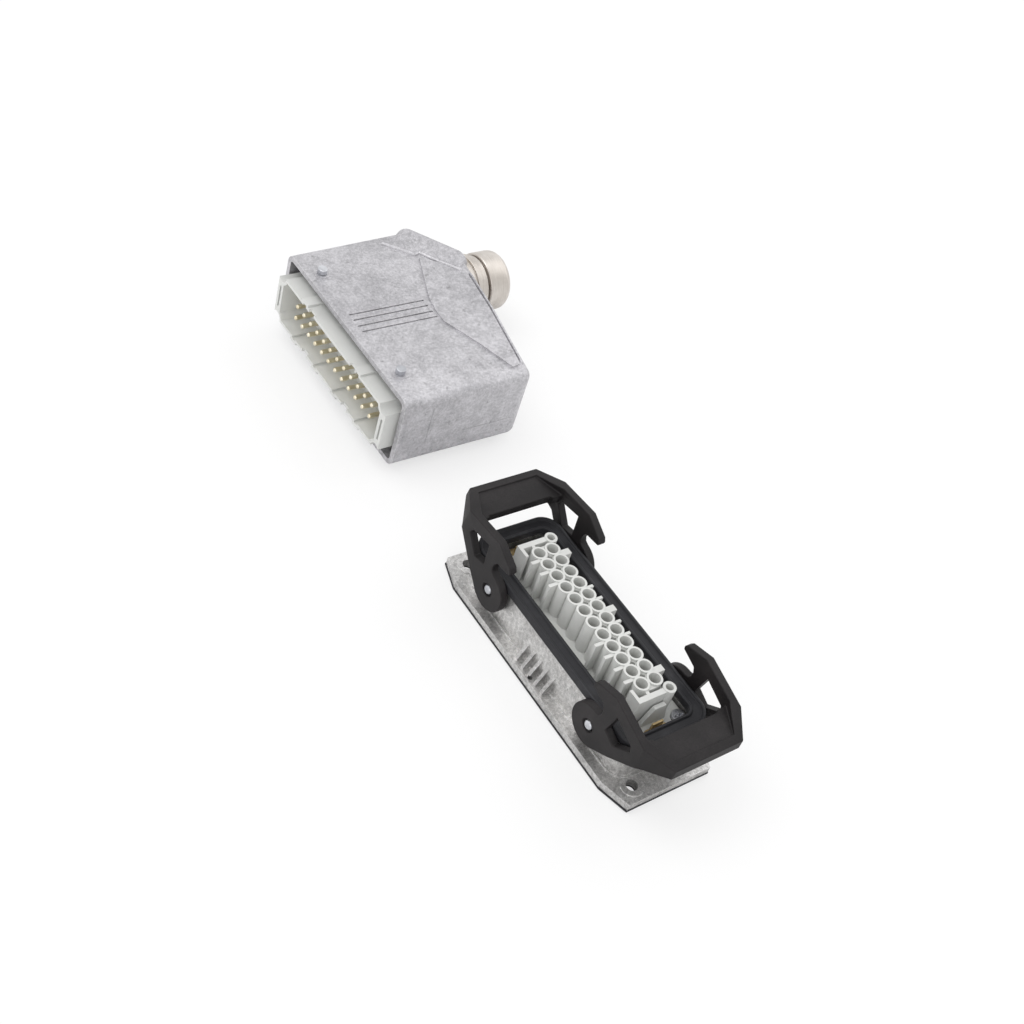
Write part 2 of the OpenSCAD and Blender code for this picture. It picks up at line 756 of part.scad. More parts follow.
// Mitred adapter: a plate on the slanting entry that turns into the gland's round socket
module entry_adapter() {
    plate_t = adapter_plate_t;
    neck_r = ring_r - 1;
    color(nickel) difference() {
        union() {
            on_entry() translate([entry_gasket_t, 0, 0]) rotate([0, 90, 0])
                linear_extrude(height = plate_t) round_rect(2 * hood_half, entry_len - 3, plate_r);
            beyond_entry(entry_gasket_t + 1) on_gland(neck_start)
                cylinder(h = adapter_end - neck_start, r = neck_r);
            on_gland(hood_depth + 1.4) cylinder(h = adapter_end - hood_depth - 1.4, r = neck_r);
        }
        beyond_entry(entry_gasket_t + plate_t) on_gland(neck_start)
            cylinder(h = adapter_end - neck_start - 2, r = neck_r - 2.5);
        on_gland(adapter_end - adapter_plate_t) cylinder(h = 2 * adapter_plate_t, d = spigot_bore);
        on_entry() translate([0, -1, 0]) rotate([0, 90, 0])
            linear_extrude(height = entry_gasket_t + plate_t + 0.5)
                round_rect(entry_open, entry_open, entry_r);
    }
}

module on_gland(x = 0) {
    in_hood() translate([x, gland_off, 0]) rotate([0, 90, 0]) children();
}

// Gland body: flange ring, hexagon and threaded spigot, bored for the cable
module gland_body() {
    color(nickel) on_gland(adapter_end) difference() {
        union() {
            cylinder(h = ring_t, r = ring_r);
            cylinder(h = hex_end, r = collar_r);
            cylinder(h = hex_end + spigot_len, r = spigot_r);
        }
        translate([0, 0, -1]) cylinder(h = hex_end + spigot_len + 2, d = spigot_bore);
        translate([0, 0, hex_end + 1]) cylinder(h = spigot_len, r = seal_r + 0.3);
    }
}

module gland_seal() {
    color(black) on_gland(adapter_end + hex_end + 1) difference() {
        cylinder(h = spigot_len - 3, r = seal_r);
        translate([0, 0, -1]) cylinder(h = spigot_len, d = cable_d);
    }
}

claw_fingers = 12;

module gland_claw() {
    color(black) on_gland(adapter_end + hex_end + spigot_len - 2) difference() {
        cylinder(h = claw_len, r = seal_r);
        translate([0, 0, -1]) cylinder(h = claw_len + 2, d = cable_d + 0.4);
        for (i = [0 : claw_fingers - 1])
            rotate(i * 360 / claw_fingers) translate([cable_d / 2 - 1, -0.4, 1])
                cube([6, 0.8, claw_len]);
    }
}

// Dome nut, turned from its thread to its rounded mouth
module gland_nut() {
    nut_r = spigot_r + nut_wall;
    mouth_r = cable_d / 2 + 0.4;
    inner_r = spigot_r + thread_play;
    color(nickel) on_gland(adapter_end + hex_end + nut_gap) rotate_extrude($fn = 96)
        polygon(concat(
            [[inner_r, 0], [nut_r - 0.5, 0], [nut_r, 0.5], [nut_r, nut_len - 5]],
            [for (a = [15 : 15 : 75]) [nut_r - 5 + 5 * cos(a), nut_len - 5 + 5 * sin(a)]],
            [[nut_r - 5, nut_len], [mouth_r, nut_len], [mouth_r, nut_len - 2.5],
             [inner_r, nut_len - 4]]
        ));
}

base_housing();
flange_gasket();
rim_seal();
pivot_pins();
lever_far();
lever_near();
socket_insert();
socket_contacts();
socket_terminals();
socket_earth_plates();
socket_fixing_screws();
hood_shell();
locking_pegs();
pin_insert();
contact_pins();
pin_terminals();
pin_earth_plates();
pin_fixing_screws();
entry_gasket();
entry_adapter();
gland_body();
gland_seal();
gland_claw();
gland_nut();
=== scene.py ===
"""Looks of a heavy duty rectangular connector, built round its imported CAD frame.

Lengths are metres in the CAD frame: X across the panel housing, Y along it
towards the hood, Z up from the panel. The hood lies beside the housing.
"""

import logging
import math
from dataclasses import dataclass
from enum import Enum, IntEnum
from typing import Any

import bmesh
import bpy
import numpy as np
from mathutils import Euler, Matrix, Vector


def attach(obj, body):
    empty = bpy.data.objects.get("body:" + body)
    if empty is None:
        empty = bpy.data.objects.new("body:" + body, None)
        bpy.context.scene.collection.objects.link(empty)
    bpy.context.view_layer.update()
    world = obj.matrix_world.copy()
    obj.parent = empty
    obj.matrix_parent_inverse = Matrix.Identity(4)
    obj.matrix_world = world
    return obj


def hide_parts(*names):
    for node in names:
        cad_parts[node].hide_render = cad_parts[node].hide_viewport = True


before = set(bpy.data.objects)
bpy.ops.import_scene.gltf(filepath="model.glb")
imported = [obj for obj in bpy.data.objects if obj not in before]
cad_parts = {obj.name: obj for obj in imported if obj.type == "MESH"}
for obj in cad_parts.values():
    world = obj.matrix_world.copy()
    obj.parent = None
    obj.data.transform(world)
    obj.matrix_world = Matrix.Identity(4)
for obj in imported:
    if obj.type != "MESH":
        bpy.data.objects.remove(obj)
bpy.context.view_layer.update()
LOG = logging.getLogger("connector")
MM = 0.001
SHELLS = "shells"

Colour = tuple[float, float, float]
Point = tuple[float, float, float]
Span = tuple[float, float]


class Axis(IntEnum):
    """The frame's axes."""

    X = 0
    Y = 1
    Z = 2


@dataclass(frozen=True)
class Noise:
    """A cloudy pattern.

    share is its part in the tone of a skin, and depth is how deep its relief goes, in metres.
    """

    per_metre: float
    detail: float = 3.0
    rough: float = 0.5
    share: float = 0.0
    depth: float = 0.0


@dataclass(frozen=True)
class Tint:
    """A colour laid over a skin where a mask says so, and how strongly."""

    colour: Colour
    strength: float


# ---- shader graph --------------------------------------------------------

class Value:
    """A shader socket that takes part in Python sums."""

    def __init__(self, graph: "Graph", socket: bpy.types.NodeSocket) -> None:
        """Keeps the socket and the graph that new nodes go into."""
        self.graph = graph
        self.socket = socket

    def _math(self, operation: str, first: Any, second: Any = 0.0) -> "Value":
        """The result of a new Math node, with an operation such as "ADD" on Values or numbers."""
        return self.graph.node("ShaderNodeMath", {"operation": operation},
                               {0: first, 1: second})

    def __add__(self, other: Any) -> "Value":
        """The sum."""
        return self._math("ADD", self, other)

    __radd__ = __add__

    def __sub__(self, other: Any) -> "Value":
        """The difference."""
        return self._math("SUBTRACT", self, other)

    def __rsub__(self, other: Any) -> "Value":
        """The reflected difference."""
        return self._math("SUBTRACT", other, self)

    def __mul__(self, other: Any) -> "Value":
        """The product."""
        return self._math("MULTIPLY", self, other)

    def __abs__(self) -> "Value":
        """The absolute value."""
        return self._math("ABSOLUTE", self)

    def larger(self, other: Any) -> "Value":
        """The larger of two values."""
        return self._math("MAXIMUM", self, other)

    def step(self, low: float, high: float) -> "Value":
        """A smooth step that leaves 0 at low and reaches 1 at high."""
        return self.graph.node("ShaderNodeMapRange", {"interpolation_type": "SMOOTHSTEP"},
                               {"Value": self, "From Min": low, "From Max": high})


class Graph:
    """A shader node tree, with the one method that adds nodes to it."""

    def __init__(self, owner: bpy.types.ID, output: str) -> None:
        """Clears the tree of a material or a world and adds its output.

        Args:
            owner: The material or the world.
            output: Type name of its output node.
        """
        owner.use_nodes = True
        self.tree = owner.node_tree
        self.tree.nodes.clear()
        self.output = self.tree.nodes.new(output)

    def node(self, kind: str, settings: dict[str, Any] | None = None,
             inputs: dict[Any, Any] | None = None, output: Any = 0) -> Value:
        """Adds one node of any kind.

        Args:
            kind: The node's type name.
            settings: Its properties, set first.
            inputs: A Value, number or tuple for each socket, by name or place.
            output: Name or place of the socket that is wanted.

        Returns:
            The wanted output.
        """
        node = self.tree.nodes.new(kind)
        for name, value in (settings or {}).items():
            setattr(node, name, value)
        for name, value in (inputs or {}).items():
            self.feed(node.inputs[name], value)
        return Value(self, node.outputs[output])

    def feed(self, socket: bpy.types.NodeSocket, value: Any) -> None:
        """Links a Value to a socket, or sets the socket to a plain value.

        Args:
            socket: The socket.
            value: A Value, a number or a tuple; a colour of three numbers is made opaque.
        """
        if isinstance(value, Value):
            self.tree.links.new(value.socket, socket)
        elif isinstance(value, tuple) and len(value) == 3 and socket.type == "RGBA":
            socket.default_value = (*value, 1.0)
        else:
            socket.default_value = value

    def show(self, shader: Value) -> None:
        """Sends a shader to the output."""
        self.feed(self.output.inputs[0], shader)

    def ray(self, kind: str) -> Value:
        """1 for rays of a kind, such as "Is Camera Ray", and 0 for others."""
        return self.node("ShaderNodeLightPath", output=kind)


class SkinGraph(Graph):
    """The tree of a material, with its Principled shader."""

    EDGE_SAMPLES = 6
    EDGE_LEAN: Span = (0.01, 0.22)
    # Places of the Mix node's colour sockets, whose names its other sockets share
    MIX_FIRST, MIX_SECOND, MIX_RESULT = 6, 7, 2

    def __init__(self, material: bpy.types.Material) -> None:
        """Adds the shader and shows it.

        Args:
            material: The material, whose old tree is cleared.
        """
        super().__init__(material, "ShaderNodeOutputMaterial")
        self.shader = self.node("ShaderNodeBsdfPrincipled")
        self.show(self.shader)

    def set(self, **sockets: Any) -> None:
        """Feeds the shader's sockets, named with _ for a space."""
        for name, value in sockets.items():
            self.feed(self.shader.socket.node.inputs[name.replace("_", " ")], value)

    def place(self) -> Value:
        """The point in the CAD frame."""
        return self.node("ShaderNodeTexCoord", output="Object")

    def axes(self) -> tuple[Value, Value, Value]:
        """Splits the point.

        Returns:
            Its three coordinates.
        """
        split = self.node("ShaderNodeSeparateXYZ", inputs={0: self.place()})
        outputs = split.socket.node.outputs
        return tuple(Value(self, outputs[axis]) for axis in Axis)

    def stretched(self, scale: tuple[float, float, float]) -> Value:
        """The point with each axis scaled, for a grain that runs one way."""
        return self.node("ShaderNodeMapping", {}, {"Vector": self.place(), "Scale": scale})

    def noise(self, pattern: Noise, where: Value | None = None) -> Value:
        """Makes a cloudy pattern.

        Args:
            pattern: Its size and roughness.
            where: The point that it reads, or none for the point in the CAD frame.

        Returns:
            The pattern, from 0 to 1.
        """
        return self.node("ShaderNodeTexNoise", {}, {
            "Vector": where or self.place(), "Scale": pattern.per_metre,
            "Detail": pattern.detail, "Roughness": pattern.rough})

    def mix(self, factor: Any, first: Any, second: Any) -> Value:
        """Mixes two colours.

        Args:
            factor: How much of the second, from 0 to 1.
            first: The first colour.
            second: The second colour.

        Returns:
            The mixed colour.
        """
        return self.node("ShaderNodeMix", {"data_type": "RGBA"},
                         {"Factor": factor, self.MIX_FIRST: first, self.MIX_SECOND: second},
                         output=self.MIX_RESULT)

    def tint(self, skin: Value, mask: Value, tint: Tint) -> Value:
        """The skin with a tint laid over it: full where the mask is 1, absent where it is 0."""
        return self.mix(mask * tint.strength, skin, tint.colour)

    def edges(self, radius: float) -> Value:
        """Finds sharp edges by how far a rounded normal leans from the true one.

        Args:
            radius: The rounding, in metres.

        Returns:
            1 on sharp edges and 0 on flat faces.
        """
        soft = self.node("ShaderNodeBevel", {"samples": self.EDGE_SAMPLES}, {"Radius": radius})
        true = self.node("ShaderNodeNewGeometry", output="Normal")
        lean = self.node("ShaderNodeVectorMath", {"operation": "DOT_PRODUCT"},
                         {0: soft, 1: true}, output="Value")
        return (1 - lean).step(*self.EDGE_LEAN)

    def tone(self, layers: list[tuple[Value, Noise]], span: Span) -> Value:
        """Adds patterns by their shares and spreads the sum.

        Args:
            layers: Each pattern's value with the pattern.
            span: The sums that become 0 and 1.

        Returns:
            The tone, from 0 to 1.
        """
        total, *rest = [value * pattern.share for value, pattern in layers]
        for part in rest:
            total = total + part
        return total.step(*span)

    def relief(self, layers: list[tuple[Value, float]], normal: Value | None = None) -> Value:
        """Makes bumps of several heights.

        Args:
            layers: Each height from 0 to 1, with its depth in metres.
            normal: The normal that they start from, or none for the face's own.

        Returns:
            The bumped normal.
        """
        for height, depth in layers:
            inputs = {"Height": height, "Distance": depth, "Strength": 1.0}
            if normal is not None:
                inputs["Normal"] = normal
            normal = self.node("ShaderNodeBump", {}, inputs)
        return normal


# ---- finishes ------------------------------------------------------------

@dataclass(frozen=True)
class Finish:
    """A material with a name; each kind paints its own graph."""

    name: str

    def paint(self, graph: SkinGraph) -> None:
        """Fills the graph."""
        raise NotImplementedError

    def material(self) -> bpy.types.Material:
        """Looks the material up, or paints it the first time.

        Returns:
            The Blender material, which all pieces of this finish share.
        """
        label = f"finish_{self.name}"
        known = bpy.data.materials.get(label)
        if known is None:
            known = bpy.data.materials.new(label)
            self.paint(SkinGraph(known))
        return known


@dataclass(frozen=True)
class Scratch:
    """A straight mark on the skin: a band across one axis, held between limits on the others."""

    across: Axis
    at: float
    width: float
    limits: tuple[tuple[Axis, float, float], ...]
    core: float = 0.4
    blur: float = 0.6 * MM

    def mask(self, axes: tuple[Value, Value, Value]) -> Value:
        """1 on the mark and 0 away from it.

        Args:
            axes: The point's three coordinates.

        Returns:
            The product of the band and of a window along each limited axis.
        """
        mark = 1 - abs(axes[self.across] - self.at).step(self.width * self.core, self.width)
        for axis, low, high in self.limits:
            mark = mark * axes[axis].step(low - self.blur, low + self.blur) * (
                1 - axes[axis].step(high - self.blur, high + self.blur))
        return mark


@dataclass(frozen=True)
class CastAluminium(Finish):
    """Bare die casting: cloudy grey, blasted grain, dull pits, painted edge highlights and painted
    groove shade.
    """

    pale: Colour = (0.66, 0.65, 0.675)
    dull: Colour = (0.34, 0.335, 0.35)
    metal: float = 0.8
    rough: float = 0.44
    marks: tuple[Scratch, ...] = ()

    clouds: Noise = Noise(26, 5, 0.62, share=0.2)
    flow: Noise = Noise(170, 4, 0.6, share=0.22, depth=0.14 * MM)
    grain: Noise = Noise(620, 3, 0.65, share=0.34, depth=0.10 * MM)
    dust: Noise = Noise(2600, 2, 0.5, share=0.24, depth=0.03 * MM)
    tone_span: Span = (0.36, 0.66)

    pits: Noise = Noise(330, 2, 0.5)
    pit_span: Span = (0.66, 0.74)
    pit_tint: Tint = Tint((0.20, 0.195, 0.20), 0.45)
    flecks: Noise = Noise(1300, 2, 0.6)
    fleck_span: Span = (0.62, 0.72)
    fleck_tint: Tint = Tint((0.80, 0.79, 0.80), 0.35)
    edge_radius: float = 0.5 * MM
    # Painted highlight: lightens the sharp edges
    painted_edge_highlight: Tint = Tint((0.86, 0.86, 0.86), 0.55)
    # Painted shade: darkens the grooves of the marks
    painted_groove_shade: Tint = Tint((0.22, 0.22, 0.23), 0.4)
    mark_depth: float = -0.12 * MM

    edge_polish: float = 0.14
    grain_rough: float = 0.18
    cloud_polish: float = 0.1

    def paint(self, graph: SkinGraph) -> None:
        """Mixes two greys by clouds and grain; adds pits, flecks, painted edge highlights and
        painted groove shade.

        Args:
            graph: The material's graph.
        """
        clouds, flow = graph.noise(self.clouds), graph.noise(self.flow)
        grain, dust = graph.noise(self.grain), graph.noise(self.dust)
        pits = graph.noise(self.pits).step(*self.pit_span)
        flecks = graph.noise(self.flecks).step(*self.fleck_span)
        edge = graph.edges(self.edge_radius)
        tone = graph.tone([(clouds, self.clouds), (flow, self.flow), (grain, self.grain),
                           (dust, self.dust)], self.tone_span)
        skin = graph.mix(tone, self.dull, self.pale)
        skin = graph.tint(skin, pits, self.pit_tint)
        skin = graph.tint(skin, flecks, self.fleck_tint)
        # Painted highlight laid on the sharp edges
        skin = graph.tint(skin, edge, self.painted_edge_highlight)
        normal = graph.relief([(flow, self.flow.depth), (grain, self.grain.depth),
                               (dust, self.dust.depth)])
        if self.marks:
            axes = graph.axes()
            lines, *others = [mark.mask(axes) for mark in self.marks]
            for other in others:
                lines = lines + other
            # Painted shade laid in the grooves of the marks
            skin = graph.tint(skin, lines, self.painted_groove_shade)
            normal = graph.relief([(lines, self.mark_depth)], normal)
        graph.set(Base_Color=skin, Metallic=self.metal, Normal=normal,
                  Roughness=self.rough - edge * self.edge_polish + grain * self.grain_rough
                  - clouds * self.cloud_polish)


@dataclass(frozen=True)
class Rubber(Finish):
    """Black moulded rubber, matt with a faint bloom."""

    dark: Colour = (0.014, 0.014, 0.017)
    bloom: Colour = (0.045, 0.045, 0.05)
    bloom_share: float = 0.7
    bloom_span: Span = (0.45, 0.8)
    clouds: Noise = Noise(60, 4, 0.6)
    grain: Noise = Noise(2200, 2, depth=0.02 * MM)
    rough: float = 0.55
    grain_rough: float = 0.2
    shine: float = 0.4

    def paint(self, graph: SkinGraph) -> None:
        """Mixes black and bloom by clouds over a fine grain.

        Args:
            graph: The material's graph.
        """
        bloom = graph.noise(self.clouds).step(*self.bloom_span)
        grain = graph.noise(self.grain)
        graph.set(Base_Color=graph.mix(bloom * self.bloom_share, self.dark, self.bloom),
                  Roughness=self.rough + grain * self.grain_rough,
                  Specular_IOR_Level=self.shine,
                  Normal=graph.relief([(grain, self.grain.depth)]))


@dataclass(frozen=True)
class GrainedPlastic(Finish):
    """Glass-filled lever plastic: dark brown black with a fine leathery grain."""

    body: Colour = (0.009, 0.0078, 0.0083)
    worn: Colour = (0.026, 0.0225, 0.0235)
    clouds: Noise = Noise(45, 4, 0.6, share=0.6, depth=0.03 * MM)
    grain: Noise = Noise(1500, 3, 0.6, share=0.4, depth=0.035 * MM)
    tone_span: Span = (0.4, 0.75)
    edge_radius: float = 0.4 * MM
    # Painted highlight: lightens the sharp edges
    painted_edge_highlight: Tint = Tint((0.060, 0.054, 0.056), 0.35)
    rough: float = 0.46
    grain_rough: float = 0.2
    shine: float = 0.27

    def paint(self, graph: SkinGraph) -> None:
        """Lightens the edges with a painted highlight over a grained skin.

        Args:
            graph: The material's graph.
        """
        clouds, grain = graph.noise(self.clouds), graph.noise(self.grain)
        edge = graph.edges(self.edge_radius)
        tone = graph.tone([(clouds, self.clouds), (grain, self.grain)], self.tone_span)
        skin = graph.mix(tone, self.body, self.worn)
        # Painted highlight laid on the sharp edges
        graph.set(Base_Color=graph.tint(skin, edge, self.painted_edge_highlight),
                  Roughness=self.rough + grain * self.grain_rough,
                  Specular_IOR_Level=self.shine,
                  Normal=graph.relief([(clouds, self.clouds.depth), (grain, self.grain.depth)]))


@dataclass(frozen=True)
class PalePlastic(Finish):
    """Light grey insert plastic, smooth with faint flow marks."""

    body: Colour = (0.66, 0.665, 0.645)
    shade: Colour = (0.56, 0.565, 0.55)
    shade_share: float = 0.6
    shade_span: Span = (0.42, 0.75)
    flow: Noise = Noise(70, 4, 0.55)
    grain: Noise = Noise(1800, 2, depth=0.012 * MM)
    rough: float = 0.36
    grain_rough: float = 0.14

    def paint(self, graph: SkinGraph) -> None:
        """Mixes two close greys by flow marks.

        Args:
            graph: The material's graph.
        """
        shade = graph.noise(self.flow).step(*self.shade_span)
        grain = graph.noise(self.grain)
        graph.set(Base_Color=graph.mix(shade * self.shade_share, self.body, self.shade),
                  Roughness=self.rough + grain * self.grain_rough,
                  Normal=graph.relief([(grain, self.grain.depth)]))


class Grain(Enum):
    """Which way a plated part was turned, as the tool lines' scale on each axis."""

    X = (30.0, 1.0, 1.0)
    NONE = (1.0, 1.0, 1.0)


@dataclass(frozen=True)
class PlatedMetal(Finish):
    """Turned and plated metal with fine tool lines and cloudy plating."""

    bright: Colour
    dull: Colour
    rough: float = 0.28
    grain: Grain = Grain.NONE
    lines: Noise = Noise(180, 4, 0.6, share=0.5, depth=0.012 * MM)
    clouds: Noise = Noise(90, 3, share=0.5)
    tone_span: Span = (0.35, 0.7)
    line_rough: float = 0.16
    metal: float = 0.9

    def paint(self, graph: SkinGraph) -> None:
        """Lays tool lines along the grain and clouds over all.

        Args:
            graph: The material's graph.
        """
        lines = graph.noise(self.lines, graph.stretched(self.grain.value))
        clouds = graph.noise(self.clouds)
        tone = graph.tone([(lines, self.lines), (clouds, self.clouds)], self.tone_span)
        graph.set(Base_Color=graph.mix(tone, self.dull, self.bright), Metallic=self.metal,
                  Roughness=self.rough + lines * self.line_rough,
                  Normal=graph.relief([(lines, self.lines.depth)]))


# Two grooves with painted shade on the end of the hood that faces the housing, one upright and one
# level
HOOD_MARKS = (
    Scratch(Axis.X, -0.8 * MM, 0.5 * MM,
            ((Axis.Y, 130 * MM, 137.5 * MM), (Axis.Z, 15.5 * MM, 37 * MM))),
    Scratch(Axis.Z, 17.3 * MM, 0.4 * MM,
            ((Axis.Y, 130 * MM, 137.5 * MM), (Axis.X, 20 * MM, 51 * MM))),
)
CAST_HOOD = CastAluminium("cast_hood", marks=HOOD_MARKS)
CAST_BODY = CastAluminium("cast_body", pale=(0.80, 0.79, 0.78), dull=(0.33, 0.325, 0.32),
                          metal=0.85, rough=0.36)
RUBBER = Rubber("black_rubber")
LEVER = GrainedPlastic("lever_plastic")
INSERT = PalePlastic("insert_plastic")
ZINC = PlatedMetal("zinc_steel", bright=(0.66, 0.67, 0.70), dull=(0.44, 0.45, 0.48))
SILVER = PlatedMetal("contact_metal", bright=(0.60, 0.58, 0.54), dull=(0.40, 0.38, 0.35),
                     rough=0.35)
GOLD = PlatedMetal("pin_gold", bright=(0.88, 0.83, 0.68), dull=(0.72, 0.65, 0.47), rough=0.25)
BRASS = PlatedMetal("earth_brass", bright=(0.55, 0.43, 0.24), dull=(0.36, 0.27, 0.14),
                    rough=0.35)
NICKEL = PlatedMetal("nickel_plate", bright=(0.72, 0.68, 0.64), dull=(0.50, 0.46, 0.42),
                     rough=0.30, grain=Grain.X)


# ---- meshes --------------------------------------------------------------

def mesh_object(name: str, mesh: bpy.types.Mesh) -> bpy.types.Object:
    """Puts a mesh in the scene.

    Args:
        name: Name of the new object.
        mesh: The mesh that it shows.

    Returns:
        The object.
    """
    piece = bpy.data.objects.new(name, mesh)
    bpy.context.scene.collection.objects.link(piece)
    return piece


@dataclass(frozen=True)
class DressedNode:
    """A CAD node shown as a merged copy with rounded edges.

    edge is the rounding's width. Points nearer than weld are joined, faces that bend by less than
    flat become one, and edges that bend by more than sharp are rounded.
    """

    node: str
    finish: Finish
    edge: float
    body: str = SHELLS
    weld: float = 2e-6
    flat: float = math.radians(0.6)
    sharp: float = math.radians(34.0)
    segments: int = 2

    def build(self) -> bpy.types.Object:
        """Copies the node, joins its loose triangles and rounds its edges.

        Returns:
            The piece that stands for the node.
        """
        mesh = self._merged()
        mesh.materials.clear()
        mesh.materials.append(self.finish.material())
        piece = mesh_object(f"{self.node}_dressed", mesh)
        if self.edge > 0:
            bevel = piece.modifiers.new("edge", "BEVEL")
            bevel.width = self.edge
            bevel.segments = self.segments
            bevel.limit_method = "ANGLE"
            bevel.angle_limit = self.sharp
        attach(piece, self.body)
        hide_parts(self.node)
        LOG.info("dressed %s: %d faces", self.node, len(mesh.polygons))
        return piece

    def _merged(self) -> bpy.types.Mesh:
        """Copies the node's mesh and joins its triangles into flat faces.

        Returns:
            The copy, smooth but for its sharp edges, without the node's own normals.
        """
        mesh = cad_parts[self.node].data.copy()
        shape = bmesh.new()
        shape.from_mesh(mesh)
        bmesh.ops.remove_doubles(shape, verts=shape.verts, dist=self.weld)
        bmesh.ops.dissolve_limit(shape, angle_limit=self.flat, verts=shape.verts,
                                 edges=shape.edges)
        for face in shape.faces:
            face.smooth = True
        for edge in shape.edges:
            edge.smooth = edge.calc_face_angle(0.0) < self.sharp
        shape.to_mesh(mesh)
        shape.free()
        if "custom_normal" in mesh.attributes:
            mesh.attributes.remove(mesh.attributes["custom_normal"])
        return mesh


@dataclass(frozen=True)
class Bead:
    """A half round ridge cast along a path on one of the hood's large faces.

    The path has one point a row. up is 1 on the upper face and -1 on the lower one. The ridge dies
    away over run_out at both ends, and its skirt reaches into the face.
    """

    name: str
    path: np.ndarray
    half_width: float
    height: float
    up: float
    skirt: float = 1.2 * MM
    run_out: float = 2.0 * MM
    pace: float = 0.5 * MM
    fewest: int = 8
    across: int = 12

    def _spine(self) -> tuple[np.ndarray, np.ndarray, np.ndarray]:
        """Samples the path at every pace.

        Returns:
            The points, the sideways directions, and how full the ridge is at each point: 1, but
            running out along a quarter circle towards both ends.
        """
        along = np.r_[0, np.cumsum(np.linalg.norm(np.diff(self.path, axis=0), axis=1))]
        run = np.linspace(0, along[-1], max(int(along[-1] / self.pace), self.fewest))
        points = np.stack([np.interp(run, along, self.path[:, axis]) for axis in Axis], axis=1)
        heading = np.gradient(points, axis=0)
        side = np.stack([-heading[:, 1], heading[:, 0], np.zeros(len(run))], axis=1)
        side /= np.linalg.norm(side, axis=1, keepdims=True)
        ease = np.clip(np.minimum(run, along[-1] - run) / self.run_out, 0, 1)
        return points, side, np.sqrt(1 - (1 - ease) ** 2)

    def build(self, body: str, finish: Finish) -> bpy.types.Object:
        """Sweeps the ridge's section along its path.

        A point is the spine's point, plus the half width times the cosine of the section's angle
        sideways, plus the height times its sine upwards. A skirt goes straight into the face from
        both feet.

        Args:
            body: The body that the ridge rides on.
            finish: Its finish.

        Returns:
            The ridge.
        """
        points, side, full = self._spine()
        angle = np.linspace(0, np.pi, self.across)
        wide = np.r_[1, np.cos(angle), -1] * self.half_width
        high = np.r_[0, np.sin(angle), 0]
        lift = self.height * full[:, None] * high
        lift[:, [0, -1]] = -self.skirt
        grid = (points[:, None, :] + side[:, None, :] * wide[None, :, None]
                + np.array([0, 0, self.up]) * lift[:, :, None])
        rows, columns = grid.shape[:2]
        index = np.arange(rows * columns).reshape(rows, columns)
        quads = np.stack([index[:-1, :-1], index[1:, :-1], index[1:, 1:], index[:-1, 1:]],
                         axis=-1).reshape(-1, 4)
        if self.up < 0:
            quads = quads[:, ::-1]
        mesh = bpy.data.meshes.new(self.name)
        mesh.from_pydata(grid.reshape(-1, 3).tolist(), [], quads.tolist())
        mesh.shade_smooth()
        mesh.materials.append(finish.material())
        piece = mesh_object(self.name, mesh)
        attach(piece, body)
        LOG.info("cast %s: %d faces", self.name, len(quads))
        return piece


@dataclass(frozen=True)
class Ridge:
    """A ridge of the hood in the hood's own frame, in millimetres.

    Each point of the plan is the distance from the opening, the place along the opening, and the
    rise above the plain face.
    """

    name: str
    plan: tuple[Point, ...]
    half_width: float
    height: float


# ---- sub-assemblies ------------------------------------------------------

@dataclass(frozen=True)
class PanelHousing:
    """The flanged housing with its seals, pivots, levers and socket insert."""

    pieces: tuple[DressedNode, ...] = (
        DressedNode("base_housing", CAST_BODY, 0.35 * MM),
        DressedNode("flange_gasket", RUBBER, 0.2 * MM),
        DressedNode("rim_seal", RUBBER, 0.5 * MM),
        DressedNode("pivot_pins", ZINC, 0.25 * MM),
        DressedNode("socket_insert", INSERT, 0.15 * MM),
        DressedNode("socket_contacts", SILVER, 0.0),
        DressedNode("socket_terminals", ZINC, 0.1 * MM),
        DressedNode("socket_earth_plates", BRASS, 0.15 * MM),
        DressedNode("socket_fixing_screws", ZINC, 0.15 * MM),
        DressedNode("lever_far", LEVER, 0.55 * MM, "lever_far"),
        DressedNode("lever_near", LEVER, 0.55 * MM, "lever_near"),
    )

    def build(self) -> None:
        """Dresses every node of the housing."""
        for piece in self.pieces:
            piece.build()


